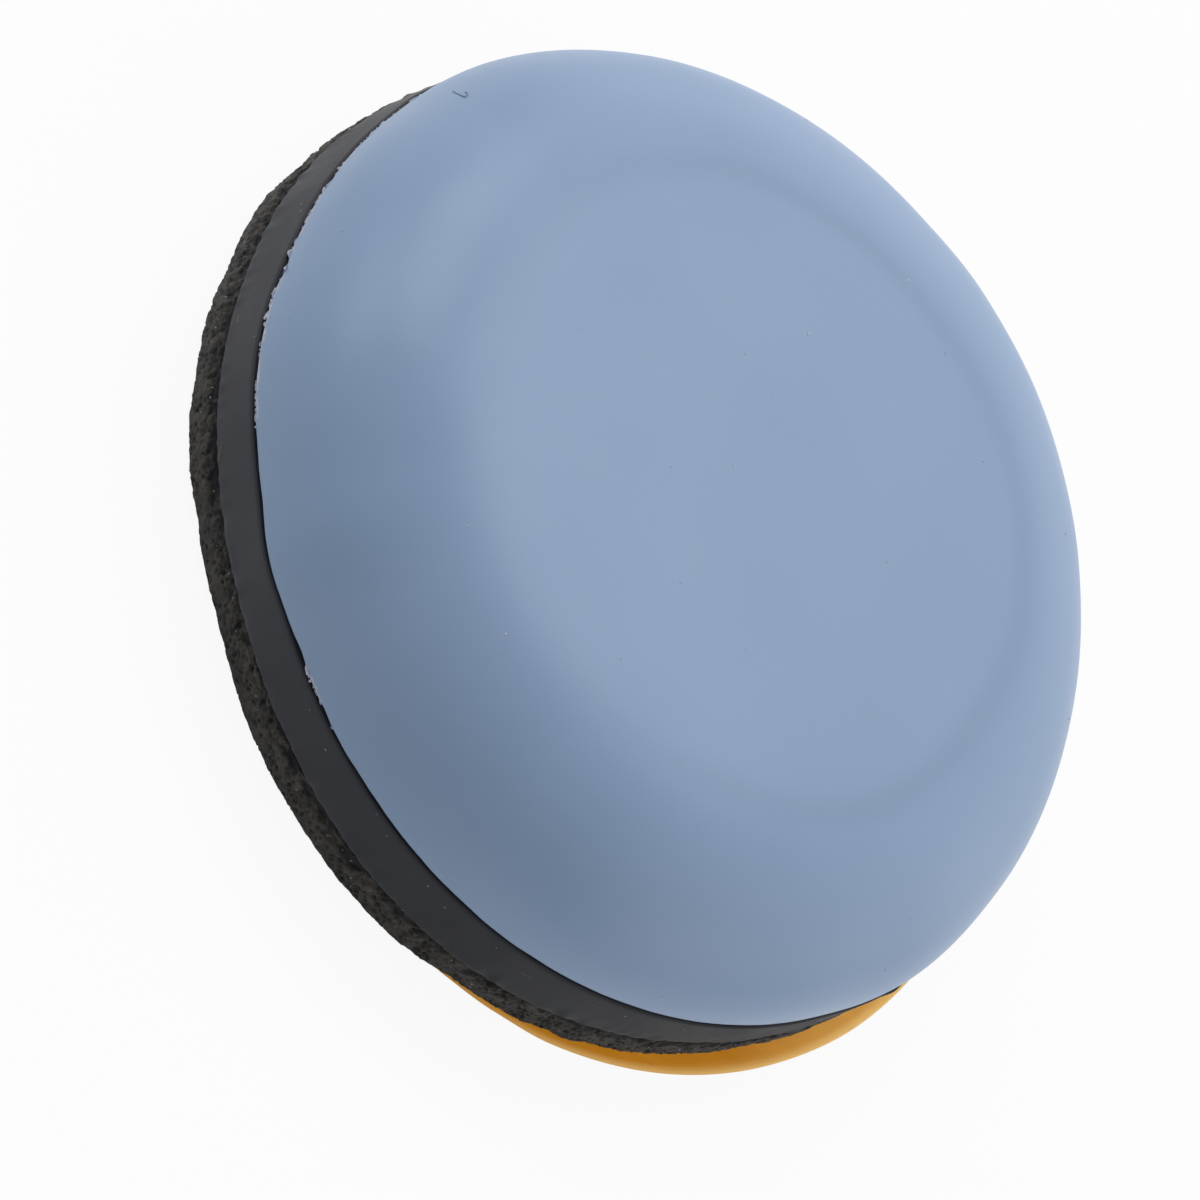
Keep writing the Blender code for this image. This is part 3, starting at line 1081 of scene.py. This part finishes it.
# %% Camera
VIEW_AZIMUTH = math.radians(-41.5)
VIEW_ELEVATION = math.radians(47.47)
VIEW_ROLL = math.radians(65.69)
VIEW_DISTANCE = 0.2721
VIEW_LENS = 216.2
SENSOR_WIDTH = 36.0
CLIP_START = 0.01
AIM_RIGHT = 0.002486
AIM_UP = 0.002480


def make_camera():
    data = bpy.data.cameras.new("portrait_camera")
    data.lens = VIEW_LENS
    data.sensor_width = SENSOR_WIDTH
    data.clip_start = CLIP_START
    camera = new_object("portrait_camera", data)
    turn = Matrix.Rotation(VIEW_AZIMUTH, 3, "Z") @ Matrix.Rotation(math.pi / 2 - VIEW_ELEVATION, 3, "X")
    turn = turn @ Matrix.Rotation(VIEW_ROLL, 3, "Z")
    aim = turn @ Vector((-AIM_RIGHT, -AIM_UP, VIEW_DISTANCE)) + Vector((0.0, 0.0, cap_edge))
    camera.matrix_world = Matrix.Translation(aim) @ turn.to_4x4()
    bpy.context.scene.camera = camera
    return camera


portrait = make_camera()
print("camera at", [round(value, 3) for value in portrait.location])

# %% Floor
FLOOR_HALF = 1.5
FLOOR_DROP = 0.00002
FLOOR_WHITE = 0.93
FLOOR_GLOW = 0.92
WHITE = (1.0, 1.0, 1.0, 1.0)


def seen_directly(tree):
    """1 for a ray from the camera, or one that reaches it by a reflection or through something clear."""
    path = add_node(tree, "ShaderNodeLightPath")
    seen = math_node(tree, "MAXIMUM", path["Is Camera Ray"], path["Is Glossy Ray"])
    return math_node(tree, "MAXIMUM", seen, path["Is Transmission Ray"])


def glow_when_seen(tree, seen, shader, kind, output):
    """Blend from a shader to plain white by how directly it is seen."""
    white = add_node(tree, kind, {"Color": WHITE, "Strength": 1.0})
    mixed = add_node(tree, "ShaderNodeMixShader", {0: seen, 1: shader.outputs[0], 2: white[0]})
    tree.links.new(mixed[0], tree.nodes[output].inputs["Surface"])


def make_floor():
    corners = [(x * FLOOR_HALF, y * FLOOR_HALF, -FLOOR_DROP) for x, y in ((-1, -1), (1, -1), (1, 1), (-1, 1))]
    floor = new_piece("floor", corners, [], [(0, 1, 2, 3)])
    material = bpy.data.materials.new("white_floor")
    material.use_nodes = True
    tree = material.node_tree
    shader = tree.nodes["Principled BSDF"]
    set_inputs(tree, shader, {"Base Color": [FLOOR_WHITE] * 3 + [1.0], "Roughness": 0.9})
    seen = math_node(tree, "MULTIPLY", seen_directly(tree), FLOOR_GLOW)
    glow_when_seen(tree, seen, shader, "ShaderNodeEmission", "Material Output")
    paint(floor, material)


make_floor()

# %% [markdown]
# ## Light
# The photograph is lit softly from above and behind, with white all round. Large area lamps do that, and a
# white surround fills the shadows. Each lamp is a name, an azimuth and an elevation, the angle that it spans
# to each side as the slider sees it, all in degrees, and a power in watts.

# %% Lamps
LAMP_DISTANCE = 0.45
LAMPS = [
    ("broad_back", 60, 30, 40, 0.85),
    ("broad_right", 340, 14, 40, 1.28),
    ("high_left", 120, 42, 14, 0.476),
    ("low_left", 150, 24, 12, 0.240),
    ("overhead", 70, 60, 10, 0.169),
    ("face_mirror", 52, 52, 5, 0.076),
]


def make_lamp(name, azimuth, elevation, spread, power):
    """A round soft lamp that faces the slider."""
    data = bpy.data.lights.new(name, "AREA")
    data.shape = "DISK"
    data.size = 2 * LAMP_DISTANCE * math.tan(math.radians(spread))
    data.energy = power
    lamp = new_object(name, data)
    turn = math.radians(azimuth)
    rise = math.radians(elevation)
    way = Vector((math.cos(rise) * math.cos(turn), math.cos(rise) * math.sin(turn), math.sin(rise)))
    lamp.location = LAMP_DISTANCE * way
    lamp.rotation_euler = (-way).to_track_quat("-Z", "Y").to_euler()


for lamp in LAMPS:
    make_lamp(*lamp)
print(len(LAMPS), "lamps")

# %% Surround
FILL_STRENGTH = 0.28


def make_surround():
    world = bpy.data.worlds.new("white_surround")
    bpy.context.scene.world = world
    world.use_nodes = True
    tree = world.node_tree
    fill = tree.nodes["Background"]
    set_inputs(tree, fill, {"Color": WHITE, "Strength": FILL_STRENGTH})
    glow_when_seen(tree, seen_directly(tree), fill, "ShaderNodeBackground", "World Output")


make_surround()
bpy.context.scene.view_settings.view_transform = "Standard"
print("surround fills at", FILL_STRENGTH)
